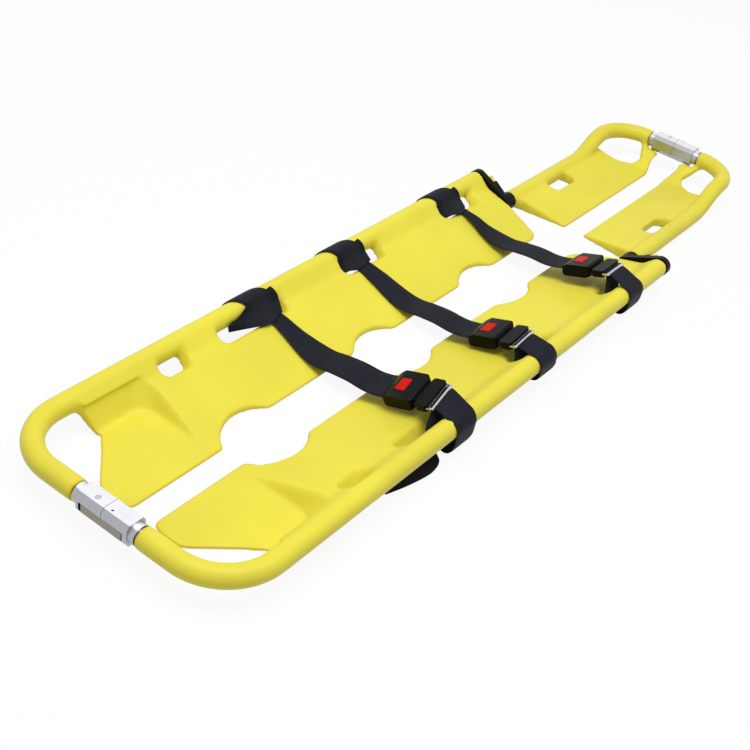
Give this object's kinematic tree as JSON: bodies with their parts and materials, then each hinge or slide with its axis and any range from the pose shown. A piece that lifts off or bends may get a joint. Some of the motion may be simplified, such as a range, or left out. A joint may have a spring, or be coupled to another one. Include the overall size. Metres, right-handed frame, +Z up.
{
  "type": "scoop stretcher",
  "caption": "Plastic scoop stretcher that parts lengthwise into halves, with telescoping leg section, latching end couplings and buckled patient straps.",
  "frame": {"origin": "middle of the length and width, on the floor under the panels", "axes": "+X from the head end to the foot end, +Y to the left half, +Z up"},
  "size_m": [1.651, 0.4447, 0.0857],
  "materials": {
    "yellow_plastic": "moulded satin",
    "black_plastic": "moulded satin",
    "red_plastic": "gloss",
    "aluminium": "bright machined",
    "chrome": "plated",
    "steel": "satin",
    "webbing": "woven"
  },
  "bodies": {
    "left_upper": {"left_upper_panel": "yellow_plastic", "left_bracket": "black_plastic", "left_bracket_screw": "steel", "left_lock_cap": "black_plastic", "left_lock_spring": "steel", "head_socket": "aluminium", "head_pivot": "steel", "head_spring": "steel", "strap_1_left_loop": "webbing", "strap_2_left_loop": "webbing", "strap_3_left_loop": "webbing", "strap_1_webbing": "webbing", "strap_2_webbing": "webbing", "strap_3_webbing": "webbing", "strap_1_buckle": "black_plastic", "strap_2_buckle": "black_plastic", "strap_3_buckle": "black_plastic", "strap_1_button_spring": "steel", "strap_2_button_spring": "steel", "strap_3_button_spring": "steel"},
    "right_upper": {"right_upper_panel": "yellow_plastic", "right_bracket": "black_plastic", "right_bracket_screw": "steel", "right_lock_cap": "black_plastic", "right_lock_spring": "steel", "head_key": "aluminium", "strap_1_tongue": "chrome", "strap_2_tongue": "chrome", "strap_3_tongue": "chrome", "strap_1_cover": "black_plastic", "strap_2_cover": "black_plastic", "strap_3_cover": "black_plastic", "strap_1_right_loop": "webbing", "strap_2_right_loop": "webbing", "strap_3_right_loop": "webbing", "strap_1_tail": "webbing"},
    "left_leg": {"left_leg_panel": "yellow_plastic", "left_leg_tube": "aluminium", "left_tube_plug": "black_plastic", "foot_socket": "aluminium", "foot_pivot": "steel", "foot_spring": "steel"},
    "right_leg": {"right_leg_panel": "yellow_plastic", "right_leg_tube": "aluminium", "right_tube_plug": "black_plastic", "foot_key": "aluminium"},
    "left_lock": {"left_lock_pin": "steel", "left_lock_knob": "yellow_plastic"},
    "right_lock": {"right_lock_pin": "steel", "right_lock_knob": "yellow_plastic"},
    "head_lever": {"head_lever": "chrome"},
    "foot_lever": {"foot_lever": "chrome"},
    "button_1": {"strap_1_button": "red_plastic"},
    "button_2": {"strap_2_button": "red_plastic"},
    "button_3": {"strap_3_button": "red_plastic"}
  },
  "joints": [
    {"name": "halves_part", "type": "slide", "parent": "left_upper", "child": "right_upper", "axis": [0, -1, 0], "range_m": [0, 0.25]},
    {"name": "left_leg_slide", "type": "slide", "parent": "left_upper", "child": "left_leg", "axis": [1, 0, 0], "range_m": [0, 0.36]},
    {"name": "right_leg_slide", "type": "slide", "parent": "right_upper", "child": "right_leg", "axis": [1, 0, 0], "range_m": [0, 0.36]},
    {"name": "left_lock_pull", "type": "slide", "parent": "left_upper", "child": "left_lock", "axis": [0, 0.8261, 0.5635], "range_m": [0, 0.007], "stiffness_N_per_m": 800, "deforming": ["left_lock_spring"]},
    {"name": "right_lock_pull", "type": "slide", "parent": "right_upper", "child": "right_lock", "axis": [0, -0.8261, 0.5635], "range_m": [0, 0.007], "stiffness_N_per_m": 800, "deforming": ["right_lock_spring"]},
    {"name": "head_lever_press", "type": "hinge", "parent": "left_upper", "child": "head_lever", "pos_m": [-0.812, 0.019, 0.046], "axis": [0, 0, -1], "range_deg": [0, 10], "stiffness_Nm_per_rad": 1.5, "deforming": ["head_spring"]},
    {"name": "foot_lever_press", "type": "hinge", "parent": "left_leg", "child": "foot_lever", "pos_m": [0.812, 0.019, 0.0517], "axis": [0, 0, 1], "range_deg": [0, 10], "stiffness_Nm_per_rad": 1.5, "deforming": ["foot_spring"]},
    {"name": "button_1_press", "type": "slide", "parent": "left_upper", "child": "button_1", "axis": [0.2756, -0.3288, -0.9033], "range_m": [0, 0.003], "stiffness_N_per_m": 900, "deforming": ["strap_1_button_spring"]},
    {"name": "button_2_press", "type": "slide", "parent": "left_upper", "child": "button_2", "axis": [0.0872, -0.3407, -0.9361], "range_m": [0, 0.003], "stiffness_N_per_m": 900, "deforming": ["strap_2_button_spring"]},
    {"name": "button_3_press", "type": "slide", "parent": "left_upper", "child": "button_3", "axis": [0, -0.342, -0.9397], "range_m": [0, 0.003], "stiffness_N_per_m": 900, "deforming": ["strap_3_button_spring"]}
  ],
  "couplings": [
    {"joint": "right_leg_slide", "follows": "left_leg_slide", "ratio": 1}
  ]
}
